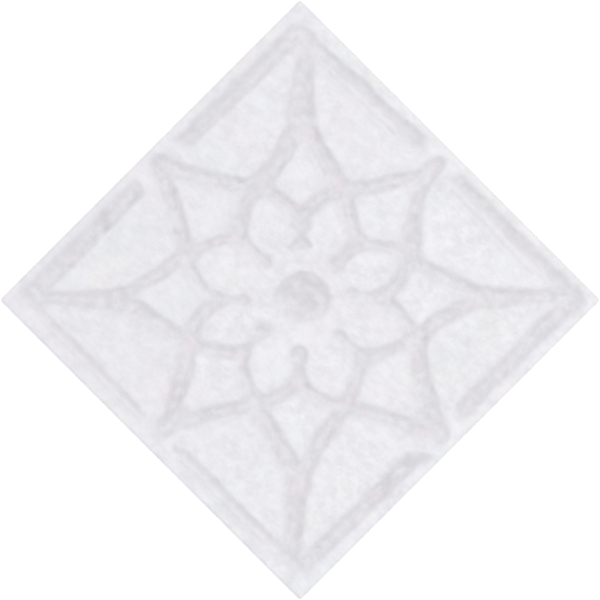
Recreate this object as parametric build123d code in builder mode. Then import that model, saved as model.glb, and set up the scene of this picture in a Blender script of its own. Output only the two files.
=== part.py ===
from build123d import *
import os
from math import sqrt

# A square ceramic insert tile with a star and rosette sunk into its glazed face.
# Millimetres. The tile lies on its back: +Z points out of the glazed face, its sides run
# along X and Y, and the origin is the middle of the back.

# Blank
tile_side = 70.0
tile_thickness = 8.0
corner_radius = 0.5  # the four upright corners
arris_radius = 0.6  # round edge of the glazed face
back_chamfer = 0.5  # broken edge of the back

# Key of the back: square pockets between ribs, for the adhesive
key_margin = 7.0  # plain band around the pockets
key_rib = 4.0
key_depth = 0.6
key_corner_radius = 1.5
key_rows = 4  # an even number leaves a rib through the middle

# Grooves of the ornament
quarters = 4  # the ornament repeats on each side of the square
groove_depth = 0.7
groove_draft = 20.0  # degrees from upright, so that the tile leaves its die

# Border: four corner pieces, open at the middle of each side
border_margin = 1.75  # plain rim outside the border
border_width = 3.1
border_gap = 2.3  # plain ground between a border end and the star point beside it

# Eight-pointed star: four points to the sides and four, on a stem, to the corners
star_line = 3.0  # width of its lines
node_across = 8.5  # where the flanks of two points cross, from the nearest axis
node_out = 17.7  # and along that axis
side_flank_bow = 0.75  # how far a side point's flank curves in
corner_flank_bow = 0.3  # how far a corner point's flank curves in
corner_stem_line = 2.7
corner_stem_length = 13.8  # from the border's corner to where the corner point opens

# Rosette of eight petals inside the star, parted by stems that end in beads
petal_line = 2.7
petal_foot_radius = 13.2  # where two petals meet
axis_petal_bow = 0.95  # how far a petal's edge curves out, towards a side point
corner_petal_bow = 0.3  # and towards a corner point
bead_stem_line = 1.8
bead_stem_length = 4.2  # from the petals' foot to the middle of the bead
bead_radius = 1.55

# Round dish in the middle
dish_radius = 4.4
dish_depth = 1.0

# Sizes that follow from these
key_pocket = (tile_side - 2 * key_margin - (key_rows - 1) * key_rib) / key_rows
border_outside = tile_side - 2 * border_margin
border_inside = border_outside - 2 * border_width
side_tip_out = (border_outside - star_line) / 2  # the point's rounded end is in line with the border
border_corner_radius = sqrt(2) * (border_outside + border_inside) / 4  # to the border's middle line
fork_radius = border_corner_radius - corner_stem_length
bead_circle_radius = petal_foot_radius - bead_stem_length
dish_ball_radius = (dish_radius**2 + dish_depth**2) / (2 * dish_depth)


def on_diagonal(radius):
    """The point on the diagonal between +X and +Y at a distance from the middle."""
    return (radius / sqrt(2), radius / sqrt(2))


def both_hands(start, end, bow):
    """Two centre lines: an arc from start to end that bows by bow, and its mirror image in X."""
    arcs = []
    for hand in (1, -1):
        with BuildLine() as line:
            SagittaArc((hand * start[0], start[1]), (hand * end[0], end[1]), hand * bow)
        arcs.append(line.wire())
    return arcs


# Centre lines of the quarter of the ornament about the +Y axis
side_tip = (0, side_tip_out)
node = (node_across, node_out)
fork = on_diagonal(fork_radius)
axis_foot = (0, petal_foot_radius)
corner_foot = on_diagonal(petal_foot_radius)
side_flanks = both_hands(side_tip, node, -side_flank_bow)
corner_flanks = both_hands(fork, node, corner_flank_bow)
axis_petals = both_hands(node, axis_foot, -axis_petal_bow)
corner_petals = both_hands(corner_foot, node, -corner_petal_bow)

glazed_face = Plane.XY.offset(tile_thickness)

with BuildPart() as insert_tile:
    # Blank
    with BuildSketch():
        RectangleRounded(tile_side, tile_side, corner_radius)
    extrude(amount=tile_thickness)
    fillet(insert_tile.faces().sort_by(Axis.Z)[-1].edges(), arris_radius)
    chamfer(insert_tile.faces().sort_by(Axis.Z)[0].edges(), back_chamfer)

    # Key of the back
    with BuildSketch():
        with GridLocations(key_pocket + key_rib, key_pocket + key_rib, key_rows, key_rows):
            RectangleRounded(key_pocket, key_pocket, key_corner_radius)
    extrude(amount=key_depth, mode=Mode.SUBTRACT)

    # Border
    with BuildSketch(glazed_face):
        Rectangle(border_outside, border_outside)
        Rectangle(border_inside, border_inside, mode=Mode.SUBTRACT)
        with PolarLocations(0, quarters):
            for flank in side_flanks:
                SlotArc(flank, star_line + 2 * border_gap, mode=Mode.SUBTRACT)
    extrude(amount=-groove_depth, taper=groove_draft, mode=Mode.SUBTRACT)

    # Star and petals, each groove cut by itself so that drafted walls can cross
    star_grooves = [(line, star_line) for line in side_flanks + corner_flanks]
    petal_grooves = [(line, petal_line) for line in axis_petals + corner_petals]
    for line, width in star_grooves + petal_grooves:
        with BuildSketch(glazed_face):
            with PolarLocations(0, quarters):
                SlotArc(line, width)
        extrude(amount=-groove_depth, taper=groove_draft, mode=Mode.SUBTRACT)

    # Stems of the corner points
    with BuildSketch(glazed_face):
        with PolarLocations(fork_radius + corner_stem_length / 2, quarters, start_angle=180 / quarters):
            SlotCenterToCenter(corner_stem_length, corner_stem_line)
    extrude(amount=-groove_depth, taper=groove_draft, mode=Mode.SUBTRACT)

    # Stems of the beads
    with BuildSketch(glazed_face):
        with PolarLocations(bead_circle_radius + bead_stem_length / 2, 2 * quarters):
            SlotCenterToCenter(bead_stem_length, bead_stem_line)
    extrude(amount=-groove_depth, taper=groove_draft, mode=Mode.SUBTRACT)

    # Beads
    with BuildSketch(glazed_face):
        with PolarLocations(bead_circle_radius, 2 * quarters):
            Circle(bead_radius)
    extrude(amount=-groove_depth, taper=groove_draft, mode=Mode.SUBTRACT)

    # Dish in the middle
    with Locations((0, 0, tile_thickness - dish_depth + dish_ball_radius)):
        Sphere(dish_ball_radius, mode=Mode.SUBTRACT)

insert_tile.part.label = "insert_tile"
os.makedirs("parts", exist_ok=True)
export_step(insert_tile.part, "parts/insert_tile.step")
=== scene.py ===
from math import radians, sqrt

import bpy
import numpy as np
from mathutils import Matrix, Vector
from mathutils.bvhtree import BVHTree


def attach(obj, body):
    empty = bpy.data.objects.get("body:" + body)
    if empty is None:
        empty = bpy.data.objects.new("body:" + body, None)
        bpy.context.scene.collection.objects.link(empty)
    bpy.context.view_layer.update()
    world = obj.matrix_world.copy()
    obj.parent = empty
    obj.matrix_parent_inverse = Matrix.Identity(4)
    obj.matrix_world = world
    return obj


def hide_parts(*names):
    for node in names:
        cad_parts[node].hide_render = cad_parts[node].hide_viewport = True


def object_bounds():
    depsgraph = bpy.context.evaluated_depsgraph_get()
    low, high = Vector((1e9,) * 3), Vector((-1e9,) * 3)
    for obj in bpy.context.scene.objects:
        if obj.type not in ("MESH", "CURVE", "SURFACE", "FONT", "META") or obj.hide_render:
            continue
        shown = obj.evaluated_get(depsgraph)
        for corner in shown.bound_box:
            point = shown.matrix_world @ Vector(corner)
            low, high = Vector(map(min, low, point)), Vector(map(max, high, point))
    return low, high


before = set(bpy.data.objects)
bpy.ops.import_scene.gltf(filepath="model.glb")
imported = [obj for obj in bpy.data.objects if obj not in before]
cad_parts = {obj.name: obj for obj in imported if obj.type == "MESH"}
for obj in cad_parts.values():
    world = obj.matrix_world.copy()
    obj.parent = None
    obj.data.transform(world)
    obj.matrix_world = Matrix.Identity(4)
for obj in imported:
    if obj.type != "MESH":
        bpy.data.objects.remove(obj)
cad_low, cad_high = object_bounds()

# A square glazed insert tile whose star and rosette were cut by hand. Work is in millimetres,
# in the tile's own frame, and turns into metres where the mesh is made.
mm = 0.001
half_side = (cad_high.x - cad_low.x) / 2 / mm
thickness = (cad_high.z - cad_low.z) / mm
arris_radius = 0.6
back_chamfer = 0.5

# Mesh of the tile
face_cells = 248  # across the flat of the glazed face
arris_steps = 8  # round the arris
side_rows = (6.7, 5.8, 4.9, 4.0, 3.1, 2.2, 1.3, 0.75, back_chamfer)  # heights of the side's mesh lines
collar = 0.7  # band that joins the fine mesh of the sides to the back
arc_pieces = 7  # straight pieces of a bowed line
floor_lines = 7  # mesh lines across the floor of a pocket

# Map for textures, in shares of its square: size, left and low edge of the face and of the back
face_map = (0.78, 0.01, 0.21)
back_map = (0.18, 0.81, 0.81)
strip_step = 0.05  # from one side's strip to the next
strip_height = 0.04

# Key of the back: pockets between ribs
key_margin = 7.0
key_rib = 4.0
key_rows = 4
key_steps = (-0.3, 0.0, 0.5, 0.9, 1.3, 1.7)  # mesh lines beside a pocket's edge, from the rib inwards

# Grooves
groove_depth = 0.7
groove_lip = 0.35  # how far the glaze rounds over outside the drawn edge
groove_run = 1.4  # how far inside the drawn edge the hollow reaches its full depth
joint_round = 1.3  # softness of the corners where grooves meet
hand_wander = 0.10  # how far a hand-cut line strays
wander_length = 9.0  # over about this length
edge_wave = 0.05  # how far its edges wave
wave_length = 5.0
edge_rough = 0.035  # and how ragged they are
rough_length = 1.7
floor_ripple = 0.06  # unevenness of the floor, as a share of its depth
long_ripple = 4.0
short_ripple = 1.5
face_swell = 0.012  # how far the ground between the grooves swells
pool_creep = (0.2, 0.4)  # how far the pooled glaze stained the ground past the left and lower edges
glaze_line = 7.4  # where the glaze stops on the sides, less its drips
glaze_drip = 2.8
glaze_edge = 0.3  # how softly it stops
dish_depth = 1.0
dish_middle = (0.0, 0.5)
dish_reach = (4.75, 4.2)  # half its length along the diagonal between +X and +Y, and across it
dish_round = 0.2  # softness of its edge

# The ornament as it was cut, by side: top (+Y), right (+X), bottom (-Y), left (-X), that is
# clockwise. The corner of a side is the one clockwise of it.
side_count = 4
sides = range(side_count)
outward = ((0, 1), (1, 0), (0, -1), (-1, 0))
clockwise = ((1, 0), (0, -1), (-1, 0), (0, 1))

# Border: the outer and inner edge of the bars before and after the gap of each side and how far each
# swings out towards the gap, and where those bars end at the gap, outside and inside
bar_before = ((31.9, 29.75, 1.9), (33.1, 30.1, 0.0), (31.8, 30.6, 0.0), (33.6, 30.3, 0.0))
bar_after = ((33.4, 31.1, 0.0), (32.8, 29.9, 0.3), (32.0, 30.8, 0.0), (32.9, 29.8, 0.6))
gap_before = ((-3.0, -4.3), (-4.9, -5.0), (-3.0, -3.0), (-4.8, -5.3))
gap_after = ((3.3, 4.3), (2.6, 4.8), (4.6, 6.5), (3.8, 4.6))
border_round = (2.4, 2.0, 1.0, 2.4)  # softness of its corners

# Side points: the tip, the two nodes where the flanks cross the corner points' flanks, how far each
# flank bows out and how wide it is
tip = ((0.1, 31.1), (31.9, 0.8), (-0.7, -30.6), (-32.0, -0.4))
tip_line = (2.0, 2.8, 2.2, 3.0)
node_before = ((-8.1, 17.8), (18.2, 8.7), (7.0, -17.4), (-18.7, -7.6))
node_after = ((7.8, 17.9), (17.8, -6.9), (-7.8, -18.0), (-18.2, 8.2))
flank_before = ((-0.85, 2.7), (-0.6, 3.5), (-0.5, 2.6), (0.0, 2.7))
flank_after = ((-1.1, 3.8), (0.1, 2.6), (-0.4, 3.7), (-0.55, 2.8))

# Corner points: the fork, the flanks that leave it, and the stem that runs to the border
fork = ((21.7, 22.3), (21.4, -21.5), (-21.4, -21.3), (-21.6, 21.8))
fork_flank_before = ((-0.55, 2.8), (-0.8, 2.9), (-0.5, 2.8), (-0.8, 3.2))
fork_flank_after = ((-1.0, 2.9), (-0.1, 3.5), (-0.3, 2.6), (-0.3, 3.4))
stem_start = ((31.2, 32.0), (28.2, -30.4), (-31.5, -31.0), (-29.4, 30.8))
stem_line = ((1.8, 3.8), (3.4, 3.6), (1.8, 3.8), (2.8, 4.6))

# Webs where the cut fills the inside of a point, and two cuts that cross: from, to and the width at
# each end
webs = (
    ((0.2, 32.0), (0.3, 26.8), 2.3, 1.2),
    ((-0.9, -30.3), (-0.6, -26.6), 2.2, 1.4),
    ((31.9, 0.8), (27.8, 0.9), 2.0, 1.2),
    ((-21.8, 21.6), (-19.8, 19.7), 2.8, 2.8),
    ((-9.6, 7.8), (-5.2, 7.4), 0.8, 0.8),
    ((-7.7, 9.7), (-7.1, 4.8), 0.8, 0.8),
)

# Scratches beside the border's top and bottom bars: from, to and width
scratches = (
    ((-23.0, 29.75), (-8.5, 30.05), 0.5),
    ((5.0, 30.1), (24.0, 30.1), 0.5),
    ((5.0, -32.75), (24.0, -32.7), 0.35),
    ((-4.6, -32.75), (-25.0, -32.7), 0.35),
)

# Petals: the foot under each side point and each corner point, and for the two edges that meet there
# how far each bows out and how wide it is
axis_foot = ((0.1, 13.4), (14.3, 0.6), (-0.4, -13.0), (-14.4, 0.3))
axis_petal_before = ((0.2, 2.3), (0.0, 2.0), (0.6, 2.1), (0.35, 2.0))
axis_petal_after = ((0.2, 2.3), (0.0, 2.5), (0.2, 2.4), (1.0, 2.7))
corner_foot = ((9.1, 10.0), (9.0, -9.6), (-9.7, -9.9), (-9.5, 9.7))
corner_petal_before = ((0.7, 2.6), (0.8, 2.0), (0.8, 2.6), (0.7, 2.0))
corner_petal_after = ((0.7, 2.0), (0.7, 2.6), (0.9, 2.0), (0.5, 2.6))

# Beads under the feet: middle, radius and the width of the stem above
axis_bead = ((-0.1, 8.1), (8.7, 0.6), (-0.6, -7.9), (-8.4, 0.4))
axis_bead_radius = (1.4, 1.1, 1.5, 0.9)
axis_bead_stem = (2.1, 1.0, 1.1, 1.2)
corner_bead = ((5.2, 6.8), (6.2, -6.4), (-6.5, -6.4), (-6.4, 6.6))
corner_bead_radius = (0.8, 1.4, 0.8, 1.1)
corner_bead_stem = (1.3, 1.8, 1.2, 1.0)

# Places where the glaze fired darker, and painted shade on the +Y walls of the border's top and bottom bars
# and round the dish's +Y and -X rim: both ends of a mark, its half width and its strength
border_smudges_and_shade = (
    ((-33.0, -12.6), (-31.0, -14.2), 0.8, 0.8),
    ((31.4, -10.8), (32.5, -12.5), 0.8, 0.6),
    ((30.5, -7.2), (33.6, -3.0), 0.8, 0.5),
    ((29.9, -8.6), (30.6, -5.6), 0.8, 0.4),
    ((31.6, 6.4), (31.8, 5.6), 0.8, 0.4),
    ((33.2, 31.4), (33.2, 31.4), 0.6, 0.5),
    ((33.1, 24.0), (33.3, 32.8), 0.6, 0.25),
    # These three, along the top bar, are painted shade on its +Y wall
    ((4.2, 32.0), (29.0, 32.2), 0.8, 0.33),
    ((-22.0, 31.4), (-4.0, 32.2), 0.9, 0.36),
    ((-8.5, 31.9), (-4.5, 32.1), 1.0, 0.45),
    ((-32.2, 27.5), (-32.0, 5.5), 1.0, 0.3),
    ((-32.8, 9.5), (-32.6, 4.8), 0.9, 0.42),
    ((-32.0, -10.0), (-32.2, -28.0), 0.9, 0.15),
    # These two, along the bottom bar, are painted shade on its +Y wall
    ((-5.0, -31.4), (-26.0, -31.4), 0.5, 0.32),
    ((5.0, -31.2), (24.0, -31.1), 0.5, 0.32),
    ((2.9, -31.8), (4.0, -31.5), 0.6, 0.5),
    ((11.5, -31.0), (14.0, -31.0), 0.6, 0.5),
)
star_smudges = (
    ((3.6, 22.8), (5.6, 19.9), 0.8, 0.35),
    ((19.0, 10.2), (19.0, 10.2), 0.7, 0.8),
    ((17.4, 12.4), (18.2, 10.8), 0.7, 0.4),
    ((25.6, 4.2), (28.8, 1.0), 0.7, 0.25),
    ((26.6, -27.2), (22.4, -22.6), 1.2, 0.2),
    ((-5.4, -24.2), (-2.0, -28.4), 0.9, 0.3),
    ((-22.2, -19.4), (-20.0, -20.9), 0.8, 0.4),
    ((-20.6, -7.2), (-19.2, -7.8), 0.9, 0.3),
    ((-22.0, -6.3), (-22.0, -6.3), 0.7, 0.7),
    ((-27.3, -1.8), (-27.3, -1.8), 0.6, 0.4),
    ((-32.8, -0.8), (-31.5, -1.0), 0.7, 0.35),
    ((-18.6, 8.4), (-17.6, 7.0), 1.0, 0.35),
    ((-21.2, 19.6), (-18.6, 9.2), 0.9, 0.3),
    ((-19.0, 17.3), (-19.0, 17.3), 0.6, 0.6),
    ((-16.8, 20.9), (-16.8, 20.9), 0.7, 0.6),
    ((-27.0, 27.6), (-21.6, 22.6), 1.2, 0.25),
)
rosette_smudges_and_shade = (
    ((0.1, 13.0), (0.0, 9.6), 0.9, 0.25),
    ((10.6, -9.2), (11.5, -9.2), 0.6, 0.4),
    ((6.4, -6.6), (6.6, -6.6), 0.6, 0.4),
    ((-17.6, 5.4), (-15.4, 1.8), 0.8, 0.3),
    ((-10.2, 11.0), (-8.4, 9.2), 1.0, 0.28),
    ((-9.6, 7.8), (-5.2, 7.5), 0.45, 0.4),
    ((-7.7, 9.7), (-7.1, 4.7), 0.45, 0.4),
    ((-1.0, 1.0), (1.6, 0.4), 1.3, 0.4),
    ((2.0, -0.4), (2.2, -0.6), 0.6, 0.5),
    # These two, round the dish's +Y and -X rim, are painted shade
    ((-3.0, 3.2), (2.8, 3.6), 0.7, 0.45),
    ((-3.0, -1.0), (-2.8, 2.8), 0.6, 0.3),
)
ground_smudges = (
    ((22.0, 9.5), (28.0, 13.0), 3.5, 0.1),
    ((-10.0, -22.0), (-7.0, -25.0), 3.0, 0.1),
    ((-27.5, -15.0), (-25.5, -11.0), 3.0, 0.1),
    ((-18.0, 27.5), (-12.0, 26.0), 3.5, 0.08),
)
smudges_and_shade = border_smudges_and_shade + star_smudges + rosette_smudges_and_shade + ground_smudges
spot_fade = 1.6  # a spot fades over so many of its half widths
spot_wobble = 0.2  # how far its edge wobbles, in half widths
wobble_length = 2.0

# Places where the glaze fired paler, in the same form
pale_spots = (
    ((-3.0, -18.0), (-1.5, -16.0), 2.2, 0.9),
    ((-5.5, -11.0), (-4.5, -9.5), 2.0, 0.5),
    ((12.0, -13.0), (16.0, -12.0), 2.0, 0.5),
    ((-15.0, -5.0), (-11.5, -5.4), 2.0, 0.4),
    ((9.0, 26.5), (13.0, 26.0), 3.0, 0.3),
    ((25.5, 24.0), (25.8, 25.5), 2.0, 0.4),
    ((5.2, 12.6), (6.0, 13.0), 1.3, 0.5),
    ((10.4, -6.4), (10.8, 2.3), 1.0, 0.6),
    ((29.3, -14.6), (29.5, -14.4), 0.9, 0.6),
)

# Colours of the glaze
thick_glaze = (0.820, 0.820, 0.873, 1)
thin_glaze = (0.862, 0.866, 0.903, 1)
watery_cloud = (0.798, 0.846, 0.866, 1)
creamy_cloud = (0.862, 0.842, 0.806, 1)
rosy_cloud = (0.856, 0.802, 0.846, 1)
mottle_grey = (0.700, 0.690, 0.724, 1)
fired_pale = (0.91, 0.908, 0.938, 1)
# Darker glaze, also used as painted shade on groove walls
fired_dark_and_shade = (0.570, 0.552, 0.588, 1)
pool_pale = (0.756, 0.744, 0.764, 1)
pool_stain = (0.672, 0.662, 0.696, 1)
pool_flush = (0.750, 0.684, 0.712, 1)
# Grey of the grooves' lip line, also painted shade on the dish's lip
lip_and_shade_grey = (0.640, 0.622, 0.668, 1)
dish_pale = (0.742, 0.728, 0.750, 1)
dish_stain = (0.652, 0.640, 0.666, 1)
# Thin glaze of the arris, also painted shade on the +Y edge
arris_worn_and_shade = (0.680, 0.655, 0.640, 1)

# Colours of the biscuit body, and the painted shade of the back's pockets
clay_dark = (0.60, 0.535, 0.455, 1)
clay_pale = (0.69, 0.635, 0.56, 1)
clay_grit = (0.44, 0.37, 0.295, 1)
pocket_painted_shade = (0.47, 0.41, 0.34, 1)


def wander(x, y, length, seed, waves=24):
    """A smooth random field of about unit size: waves of about one length that run in all directions."""
    draw = np.random.default_rng(seed)
    total = np.zeros_like(x)
    for angle in draw.uniform(0, 2 * np.pi, waves):
        step = 2 * np.pi / (length * draw.uniform(0.7, 1.6))
        total += np.sin(step * (x * np.cos(angle) + y * np.sin(angle)) + draw.uniform(0, 2 * np.pi))
    return total * sqrt(2 / waves)


def ease(value, low, high):
    """Rises smoothly from 0 at low to 1 at high."""
    share = np.clip((value - low) / (high - low), 0, 1)
    return share * share * (3 - 2 * share)


def join(first, second, softness):
    """The larger of two fields, with the crease between them rounded."""
    share = np.clip(0.5 + 0.5 * (first - second) / softness, 0, 1)
    return second + (first - second) * share + softness * share * (1 - share)


def bowed_line(start, end, bow):
    """Points along an arc between two points that bows by so much away from the tile's middle."""
    start = np.array(start, float)
    end = np.array(end, float)
    across = np.array((start[1] - end[1], end[0] - start[0])) / np.hypot(*(end - start))
    if across @ (start + end) < 0:
        across = -across
    share = np.linspace(0, 1, arc_pieces + 1)[:, None]
    return start + (end - start) * share + across * bow * 4 * share * (1 - share)


def stroke(x, y, line, start_width, end_width):
    """How far inside a cut line each place is; it is negative outside."""
    inside = np.full_like(x, -np.inf)
    widths = np.linspace(start_width, end_width, len(line)) / 2
    for a, b, wide_a, wide_b in zip(line[:-1], line[1:], widths[:-1], widths[1:]):
        run = b - a
        share = np.clip(((x - a[0]) * run[0] + (y - a[1]) * run[1]) / (run @ run), 0, 1)
        distance = np.hypot(x - a[0] - share * run[0], y - a[1] - share * run[1])
        inside = np.maximum(inside, wide_a + share * (wide_b - wide_a) - distance)
    return inside


def arc_cut(x, y, start, end, bow, start_width, end_width):
    """How far inside a groove that bows each place is."""
    return stroke(x, y, bowed_line(start, end, bow), start_width, end_width)


def straight_cut(x, y, start, end, start_width, end_width):
    """How far inside a straight groove each place is."""
    return stroke(x, y, np.array((start, end), float), start_width, end_width)


def border_piece(x, y, side, hand):
    """How far inside one border bar each place is: hand -1 is the bar before the gap, 1 the one after."""
    out = x * outward[side][0] + y * outward[side][1]
    along = hand * (x * clockwise[side][0] + y * clockwise[side][1])
    if hand > 0:
        bars, next_bars, ends = bar_after, bar_before, gap_after
        corner = side
    else:
        bars, next_bars, ends = bar_before, bar_after, gap_before
        corner = side - 1
    outer, inner, swing = bars[side]
    out = out - swing * (1 - along / half_side)
    outer_end, inner_end = (hand * end for end in ends[side])
    slope = (inner_end - outer_end) / (outer - inner)
    gap_end = outer_end + slope * (outer - out)
    inside = -join(out - outer, along - next_bars[(side + hand) % side_count][0], border_round[corner])
    for edge in (out - inner, (along - gap_end) / sqrt(1 + slope**2)):
        inside = -join(-inside, -edge, joint_round)
    return inside


def side_cuts(x, y, side):
    """How far inside each groove of one side and its corner each place is."""
    cuts = [border_piece(x, y, side, -1), border_piece(x, y, side, 1)]

    # Side point and the petal edges under it
    for node, (bow, width), (petal_bow, petal_width) in (
        (node_before[side], flank_before[side], axis_petal_before[side]),
        (node_after[side], flank_after[side], axis_petal_after[side]),
    ):
        cuts.append(arc_cut(x, y, tip[side], node, bow, tip_line[side], width))
        cuts.append(arc_cut(x, y, node, axis_foot[side], petal_bow, petal_width, petal_width))

    # Corner point, its stem and the petal edges under it
    for node, (bow, width), (petal_bow, petal_width) in (
        (node_after[side], fork_flank_before[side], corner_petal_before[side]),
        (node_before[(side + 1) % side_count], fork_flank_after[side], corner_petal_after[side]),
    ):
        cuts.append(arc_cut(x, y, fork[side], node, bow, width, width))
        cuts.append(arc_cut(x, y, node, corner_foot[side], petal_bow, petal_width, petal_width))
    cuts.append(straight_cut(x, y, stem_start[side], fork[side], *stem_line[side]))

    # Beads and their stems
    for foot, bead, radius, width in (
        (axis_foot[side], axis_bead[side], axis_bead_radius[side], axis_bead_stem[side]),
        (corner_foot[side], corner_bead[side], corner_bead_radius[side], corner_bead_stem[side]),
    ):
        cuts.append(straight_cut(x, y, foot, bead, width, width))
        cuts.append(radius - np.hypot(x - bead[0], y - bead[1]))
    return cuts


def cut_field(x, y):
    """How far inside the nearest groove each place of the face is."""
    cuts = []
    for side in sides:
        cuts += side_cuts(x, y, side)
    for start, end, start_width, end_width in webs:
        cuts.append(straight_cut(x, y, start, end, start_width, end_width))
    inside = cuts[0]
    for cut in cuts[1:]:
        inside = join(inside, cut, joint_round)
    for start, end, width in scratches:
        inside = np.maximum(inside, straight_cut(x, y, start, end, width, width))
    return inside


def relief(x, y):
    """Depth below the face's highest level, and how far inside a groove, a pool and the dish a place is."""
    strayed_x = x + hand_wander * wander(x, y, wander_length, seed=11)
    strayed_y = y + hand_wander * wander(x, y, wander_length, seed=12)
    ragged = edge_wave * wander(x, y, wave_length, seed=13)
    ragged = ragged + edge_rough * wander(x, y, rough_length, seed=17)
    in_groove = cut_field(strayed_x, strayed_y) + ragged
    crept = cut_field(strayed_x + pool_creep[0], strayed_y + pool_creep[1]) + ragged
    in_pool = np.maximum(in_groove, crept)
    ripple = wander(x, y, long_ripple, seed=14) + wander(x, y, short_ripple, seed=18)
    groove = groove_depth * (1 + floor_ripple * ripple) * ease(in_groove, -groove_lip, groove_run)
    dish_x = strayed_x - dish_middle[0]
    dish_y = strayed_y - dish_middle[1]
    share = np.hypot((dish_x + dish_y) / dish_reach[0], (dish_y - dish_x) / dish_reach[1]) / sqrt(2)
    in_dish = (1 - share) * dish_reach[1]
    bowl = dish_depth * (1 - share**2)
    dish = np.maximum(join(bowl, np.zeros_like(bowl), dish_round) - dish_round / 4, 0)
    swell = face_swell * (1 + wander(x, y, wander_length, seed=15).clip(-1, 1))
    return np.maximum(groove, dish) + swell, in_groove, in_pool, in_dish


def spot_field(x, y, spots):
    """How strongly the glaze is changed at each place by such spots."""
    least_run = (0.01, 0)  # keeps a round spot's line from having no length
    change = np.zeros_like(x)
    wobble = spot_wobble * wander(x, y, wobble_length, seed=16)
    for start, end, half_width, strength in spots:
        distance = half_width * wobble - straight_cut(x, y, start, np.add(end, least_run), 0, 0)
        change = np.maximum(change, strength * (1 - ease(distance, 0.0, spot_fade * half_width)))
    return change


def quads(grid):
    """The four corners of every cell of a grid, of vertex numbers or of places."""
    corners = np.stack([grid[:-1, :-1], grid[1:, :-1], grid[1:, 1:], grid[:-1, 1:]], axis=2)
    return corners.reshape(-1, 4, *grid.shape[2:])


def rim(grid):
    """The vertices round the edge of a square grid, as four sides that turn counter-clockwise."""
    return [grid[:, 0], grid[-1, :], grid[::-1, -1], grid[0, ::-1]]


def stitch(outer, inner, places):
    """Triangles between two closed rings of vertices that start at one corner and turn the same way."""
    turns = []
    for ring in (outer, inner):
        closed = np.append(ring, ring[0])
        turns.append(np.unwrap(np.arctan2(places[closed, 1], places[closed, 0])))
    triangles = []
    i = j = 0
    while i < len(outer) or j < len(inner):
        corner = (outer[i % len(outer)], inner[j % len(inner)])
        if j == len(inner) or (i < len(outer) and turns[0][i + 1] <= turns[1][j + 1]):
            i += 1
            triangles.append((*corner, outer[i % len(outer)]))
        else:
            j += 1
            triangles.append((*corner, inner[j % len(inner)]))
    return np.array(triangles)


def back_heights(x, y):
    """Height of the solid's back over each place."""
    tree = BVHTree.FromObject(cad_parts["insert_tile"], bpy.context.evaluated_depsgraph_get())
    heights = np.zeros_like(x)
    for place in np.ndindex(x.shape):
        below = Vector((x[place] * mm, y[place] * mm, -thickness * mm))
        heights[place] = tree.ray_cast(below, Vector((0, 0, 1)))[0].z / mm
    return np.maximum(heights, 0)


def back_lines():
    """Mesh lines across the back, closer together at the edges of the key's pockets."""
    back_half = half_side - back_chamfer - collar
    pocket = (2 * (half_side - key_margin) - (key_rows - 1) * key_rib) / key_rows
    lines = [-back_half, back_half]
    for row in range(key_rows):
        low_edge = key_margin - half_side + row * (pocket + key_rib)
        high_edge = low_edge + pocket
        for step in key_steps:
            lines += [low_edge + step, high_edge - step]
        lines += list(np.linspace(low_edge + key_steps[-1], high_edge - key_steps[-1], floor_lines)[1:-1])
        lines += [low_edge - key_rib / 2, high_edge + key_rib / 2]
    return np.unique(np.round(lines, 3))


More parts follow.
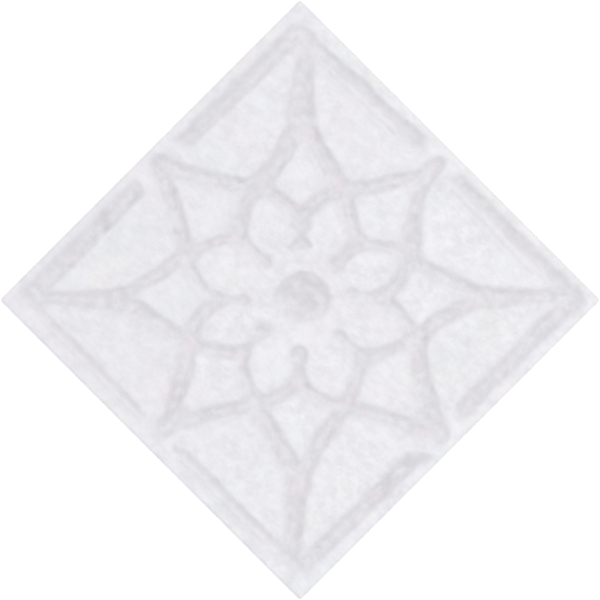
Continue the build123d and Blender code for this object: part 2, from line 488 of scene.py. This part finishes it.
def tile_mesh():
    """The whole tile as one closed skin: glazed face, arris, sides, broken back edge and keyed back."""
    flat = half_side - arris_radius
    turns = np.radians(np.linspace(0, 90, arris_steps + 1)[1:])
    edge = flat + arris_radius * np.sin(turns)
    lines = np.concatenate([-edge[::-1], np.linspace(-flat, flat, face_cells + 1), edge])

    # Glazed face and arris, with the grid's corners drawn in to the round upright corners
    x, y = np.meshgrid(lines, lines, indexing="ij")
    over_x = np.maximum(abs(x) - flat, 0)
    over_y = np.maximum(abs(y) - flat, 0)
    over = np.maximum(over_x, over_y)
    tiny = 1e-9  # keeps the flat, where nothing is over, from a division by zero
    pull = over / np.maximum(np.hypot(over_x, over_y), tiny)
    x = np.sign(x) * (np.minimum(abs(x), flat) + over_x * pull)
    y = np.sign(y) * (np.minimum(abs(y), flat) + over_y * pull)
    depth, in_groove, in_pool, in_dish = relief(x, y)
    fade = 1 - over / arris_radius
    drop = arris_radius - np.sqrt(np.maximum(arris_radius**2 - over**2, 0))
    z = thickness - drop - depth * fade
    places = [np.stack([x, y, z], axis=2).reshape(-1, 3)]
    face = np.arange(x.size).reshape(x.shape)

    # Sides and broken back edge, ring under ring
    top_ring = np.concatenate([side[:-1] for side in rim(face)])
    ring_plan = places[0][top_ring, :2]
    rings = [top_ring]
    levels = [(height, 0.0) for height in side_rows]
    levels += [(back_chamfer / 2, back_chamfer / 2), (0.0, back_chamfer)]
    count = x.size
    for height, inset in levels:
        plan = ring_plan * (half_side - inset) / half_side
        places.append(np.column_stack([plan, np.full(len(plan), height)]))
        rings.append(count + np.arange(len(plan)))
        count += len(plan)
    rings = np.array(rings)
    closed = np.concatenate([rings, rings[:, :1]], axis=1)

    # Back
    back_x, back_y = np.meshgrid(back_lines(), back_lines(), indexing="ij")
    pockets = back_heights(back_x, back_y)
    places.append(np.stack([back_x, back_y, pockets], axis=2).reshape(-1, 3))
    back = count + np.arange(back_x.size).reshape(back_x.shape)
    places = np.concatenate(places)
    back_ring = np.concatenate([side[:-1] for side in rim(back)])
    band = stitch(rings[-1], back_ring, places)

    # Map for textures: the face large, the four sides in strips below it, the back small beside it
    def laid(corners, size, left, low):
        return (places[corners, :2] / (2 * half_side) + 0.5) * size + (left, low)

    faces = quads(face).tolist()
    maps = [laid(quads(face), *face_map).reshape(-1, 2)]
    strip_length = len(lines) - 1
    heights = np.array([thickness - arris_radius] + [height for height, _ in levels])
    strip_width, strip_left, _ = face_map
    for number in sides:
        strip = closed[:, number * strip_length:(number + 1) * strip_length + 1]
        along, up = np.meshgrid(lines, heights)
        strip_map = np.stack([
            strip_left + strip_width * (along / (2 * half_side) + 0.5),
            strip_left + strip_step * number + strip_height * up / thickness,
        ], axis=2)
        faces += quads(strip).tolist()
        maps.append(quads(strip_map).reshape(-1, 2))
    faces += quads(back.T).tolist()
    maps.append(laid(quads(back.T), *back_map).reshape(-1, 2))
    faces += band.tolist()
    maps.append(laid(band, *back_map).reshape(-1, 2))

    mesh = bpy.data.meshes.new("fired_tile")
    mesh.from_pydata((places * mm).tolist(), [], faces)
    mesh.uv_layers.new(name="OFBake").data.foreach_set("uv", np.concatenate(maps).ravel())
    for name, field, vertices, elsewhere in (
        ("groove", in_groove, face, -half_side),
        ("pool", in_pool, face, -half_side),
        ("dish", in_dish, face, -half_side),
        ("smudge_and_shade", spot_field(x, y, smudges_and_shade), face, 0.0),
        ("pale", spot_field(x, y, pale_spots), face, 0.0),
        ("arris", over / arris_radius, face, 1.0),
        ("key", pockets / pockets.max(), back, 0.0),
    ):
        values = np.full(len(places), elsewhere)
        values[vertices] = field
        mesh.attributes.new(name, "FLOAT", "POINT").data.foreach_set("value", values)
    mesh.shade_smooth()
    mesh.update()
    return mesh


class Socket:
    """A node's output. Arithmetic on it adds Math nodes to its tree."""

    def __init__(self, tree, output=None):
        self.tree = tree
        self.output = output

    def node(self, kind, settings, values, output=0):
        """A node of any kind: its settings first, then the values or links of its sockets."""
        made = self.tree.nodes.new(kind)
        for name, value in settings.items():
            setattr(made, name, value)
        for name, value in values.items():
            if isinstance(value, Socket):
                self.tree.links.new(value.output, made.inputs[name])
            else:
                made.inputs[name].default_value = value
        return Socket(self.tree, made.outputs[output]) if made.outputs else made

    def math(self, operation, first, second):
        """A Math node of two values."""
        return self.node("ShaderNodeMath", {"operation": operation}, {0: first, 1: second})

    def __add__(self, other):
        return self.math("ADD", self, other)

    def __sub__(self, other):
        return self.math("SUBTRACT", self, other)

    def __rsub__(self, other):
        return self.math("SUBTRACT", other, self)

    def __mul__(self, other):
        return self.math("MULTIPLY", self, other)

    __radd__ = __add__
    __rmul__ = __mul__

    def field(self, name):
        """A value that the mesh carries at its vertices."""
        return self.node("ShaderNodeAttribute", {"attribute_name": name}, {}, "Fac")

    def place(self, axis):
        """The object's own coordinate along an axis, in millimetres."""
        place = self.node("ShaderNodeTexCoord", {}, {}, "Object")
        return self.node("ShaderNodeSeparateXYZ", {}, {"Vector": place}, axis) * (1 / mm)

    def ease(self, low, high, start=0.0, end=1.0):
        """Goes smoothly from start to end as this value goes from low to high."""
        return self.node("ShaderNodeMapRange", {"interpolation_type": "SMOOTHSTEP"},
                         {0: self, 1: low, 2: high, 3: start, 4: end})

    def mix(self, first, second):
        """A colour between two, by this value."""
        return self.node("ShaderNodeMix", {"data_type": "RGBA"}, {0: self, 6: first, 7: second}, 2)

    def noise(self, size, detail, stretch=(1, 1, 1), shift=0.0, roughness=0.55):
        """Noise from 0 to 1 with features of about a size in millimetres, in the object's own frame."""
        place = self.node("ShaderNodeTexCoord", {}, {}, "Object")
        place = self.node("ShaderNodeMapping", {}, {
            "Vector": place, "Location": (shift, shift, shift), "Scale": stretch,
        })
        return self.node("ShaderNodeTexNoise", {}, {
            "Vector": place, "Scale": 1 / (size * mm), "Detail": detail, "Roughness": roughness,
        })


def new_material(name):
    """An empty material and the start of its node expressions."""
    material = bpy.data.materials.new(name)
    material.use_nodes = True
    material.node_tree.nodes.clear()
    return material, Socket(material.node_tree)


def glaze_ground(tree, mottle):
    """Colour of the ground: thicker and more lilac to the left, with tinted clouds and a fine mottle."""
    drift = tree.place("X") + tree.place("Y") * 0.4 + tree.noise(14, 3) * 40
    colour = drift.ease(-15, 55).mix(thick_glaze, thin_glaze)
    for tint, shift in ((watery_cloud, 3.0), (creamy_cloud, 21.0), (rosy_cloud, 24.0)):
        colour = (tree.noise(10, 2, shift=shift).ease(0.45, 0.7) * 0.42).mix(colour, tint)
    colour = tree.field("pale").mix(colour, fired_pale)
    mottle_share = tree.noise(8, 2, shift=9.0).ease(0.35, 0.65, 0.55, 0.85)
    colour = (mottle.ease(0.25, 0.75) * mottle_share).mix(colour, mottle_grey)
    hatch = tree.noise(0.9, 3, stretch=(0.25, 1, 1), shift=27.0)
    hatch_share = tree.noise(7, 2, shift=30.0).ease(0.45, 0.65, 0.0, 0.3)
    return (hatch.ease(0.45, 0.7) * hatch_share).mix(colour, mottle_grey)


def pooled_glaze(tree, colour, ragged, stain):
    """The same with glaze pooled in the grooves, stained and flushed, and the line along their lips."""
    groove = tree.field("groove")
    pool = tree.field("pool")
    patch = tree.noise(6, 3, shift=8.0)
    flush = tree.noise(4, 2, shift=15.0)
    pool_colour = (stain.ease(0.35, 0.65) * patch.ease(0.3, 0.7, 0.6, 1.0)).mix(pool_pale, pool_stain)
    pool_colour = (flush.ease(0.53, 0.67) * 0.4).mix(pool_colour, pool_flush)
    pool_share = (pool + ragged).ease(-0.8, 0.5) * groove.ease(0.0, 1.2, 0.6, 1.25)
    colour = (pool_share * patch.ease(0.3, 0.7, 0.7, 1.0)).mix(colour, pool_colour)
    lip_line = (groove + ragged * 0.5).ease(-0.25, 0.2) * groove.ease(0.3, 0.85, 1.0, 0.0)
    lip_line = lip_line * (pool - groove).ease(0.1, 0.4, 1.0, 0.4)
    return (lip_line * tree.noise(5, 3, shift=18.0).ease(0.3, 0.7, 0.0, 0.3)).mix(colour, lip_and_shade_grey)


def fired_marks(tree, colour, ragged, stain):
    """The same with the dish, the places that fired darker, painted shade by the bars and round the dish,
    and the arris, where the glaze is thin, with painted shade on its +Y edge.
    """
    dish = tree.field("dish")
    dish_colour = stain.ease(0.35, 0.65).mix(dish_pale, dish_stain)
    colour = ((dish + ragged).ease(-0.5, 0.7) * dish.ease(0.5, 3.0, 0.7, 0.95)).mix(colour, dish_colour)
    # Painted shade: a grey line along the dish's lip, only on its +Y and -X side, as a sunk wall in shade
    lip_line = (dish + ragged * 0.5).ease(-0.25, 0.2) * dish.ease(0.3, 0.9, 0.3, 0.0)
    colour = (lip_line * (tree.place("Y") - tree.place("X")).ease(-4, 3)).mix(colour, lip_and_shade_grey)
    # Darker glaze where it fired darker, and painted shade along the border bars and round the dish's rim
    colour = (tree.field("smudge_and_shade") * 0.75).mix(colour, fired_dark_and_shade)
    # Thin glaze on the arris all round, and painted shade on the +Y arris that tones down the lamp's light
    # there
    wear_and_shade = tree.field("arris").ease(0.1, 0.7) * tree.place("Y").ease(33, 35, 0.1, 0.5)
    return wear_and_shade.mix(colour, arris_worn_and_shade)


def biscuit(tree, grit):
    """Colour of the bare clay, with painted shade in the pockets of the back."""
    colour = tree.noise(9, 4, shift=6.0).ease(0.3, 0.7).mix(clay_dark, clay_pale)
    colour = (grit.ease(0.55, 0.75) * 0.4).mix(colour, clay_grit)
    # Painted shade in the pockets, darker where they are deeper
    return (tree.field("key") * 0.45).mix(colour, pocket_painted_shade)


def fired_glaze():
    """Satin glaze that pools in the grooves and runs a little way down the sides of a pale biscuit body."""
    material, tree = new_material("fired_glaze")
    mottle = tree.noise(1.5, 5, stretch=(0.8, 1, 1), shift=5.0, roughness=0.68)
    ragged = (tree.noise(1.1, 3, shift=7.0) - 0.5) * 0.7
    stain = tree.noise(1.7, 4, shift=12.0, roughness=0.6)
    grit = tree.noise(0.5, 3, shift=4.0)
    glaze_foot = tree.place("Z") + tree.noise(7, 3, shift=2.0) * glaze_drip
    bare = glaze_foot.ease(glaze_line, glaze_line + glaze_edge, 1.0, 0.0)
    colour = glaze_ground(tree, mottle)
    colour = pooled_glaze(tree, colour, ragged, stain)
    colour = fired_marks(tree, colour, ragged, stain)
    colour = bare.mix(colour, biscuit(tree, grit))
    gloss = tree.noise(4, 3, shift=1.0).ease(0.3, 0.7, 0.37, 0.45)
    skin = tree.node("ShaderNodeBump", {}, {
        "Height": mottle * (1 - bare) + grit * bare, "Strength": 0.3, "Distance": 0.05 * mm,
    })
    shader = tree.node("ShaderNodeBsdfPrincipled", {}, {
        "Base Color": colour,
        "Roughness": gloss + bare * 0.45,
        "Normal": skin,
    })
    tree.node("ShaderNodeOutputMaterial", {}, {"Surface": shader})
    return material


def studio_white():
    """A white sweep, lit a little from behind so that it stays white round the tile."""
    material, tree = new_material("studio_white")
    shader = tree.node("ShaderNodeBsdfPrincipled", {}, {
        "Base Color": (0.9, 0.9, 0.9, 1), "Roughness": 0.9,
        "Emission Color": (1, 1, 1, 1), "Emission Strength": 0.35,
    })
    tree.node("ShaderNodeOutputMaterial", {}, {"Surface": shader})
    return material


def add_object(name, data):
    """Puts new data into the scene under a name."""
    made = bpy.data.objects.new(name, data)
    bpy.context.scene.collection.objects.link(made)
    return made


# Tile
tile = add_object("fired_tile", tile_mesh())
tile.data.materials.append(fired_glaze())
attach(tile, "root")
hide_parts("insert_tile")

# Floor, in metres like all of the stage
floor_half = 3.0
floor_drop = 0.02 * mm  # below the back, so that the two don't share a plane
floor_mesh = bpy.data.meshes.new("floor")
floor_corners = [(-floor_half, -floor_half), (floor_half, -floor_half), (floor_half, floor_half),
                 (-floor_half, floor_half)]
floor_mesh.from_pydata([(x, y, -floor_drop) for x, y in floor_corners], [], [(0, 1, 2, 3)])
floor_mesh.materials.append(studio_white())
add_object("floor", floor_mesh)

# Light: a soft dome, brighter overhead, and a lamp over the tile's top side
horizon_light = 0.6
overhead_light = 1.12
world = bpy.data.worlds.new("studio")
world.use_nodes = True
world.node_tree.nodes.clear()
sky = Socket(world.node_tree)
direction = sky.node("ShaderNodeTexCoord", {}, {}, "Generated")
up = sky.node("ShaderNodeSeparateXYZ", {}, {"Vector": direction}, "Z")
dome = sky.node("ShaderNodeBackground", {}, {
    "Color": (1, 1, 1, 1), "Strength": up.ease(0.0, 1.0, horizon_light, overhead_light),
})
sky.node("ShaderNodeOutputWorld", {}, {"Surface": dome})
bpy.context.scene.world = world

lamp = bpy.data.lights.new("lamp", "AREA")
lamp.shape = "DISK"
lamp.size = 0.35
lamp.energy = 0.6
lamp_object = add_object("lamp", lamp)
lamp_object.location = (0.0, 0.5, 0.5)
lamp_object.rotation_euler = (-Vector(lamp_object.location)).to_track_quat("-Z", "Y").to_euler()
lamp_object.visible_camera = False

# Camera: square on, turned so that the tile stands on one corner and fills the frame
camera = bpy.data.cameras.new("camera")
camera.lens = 150
camera.sensor_width = 36
diagonal = 2 * half_side * sqrt(2) * mm
corner_crop = 0.9967  # the frame cuts a hair off the tile's corners
distance = corner_crop * diagonal * camera.lens / camera.sensor_width
camera_object = add_object("camera", camera)
camera_object.location = (0, 0, thickness * mm + distance)
camera_object.rotation_euler = (0, 0, radians(45))
camera.clip_start = 0.01
camera.clip_end = 20
bpy.context.scene.camera = camera_object
bpy.context.scene.view_settings.view_transform = "Standard"
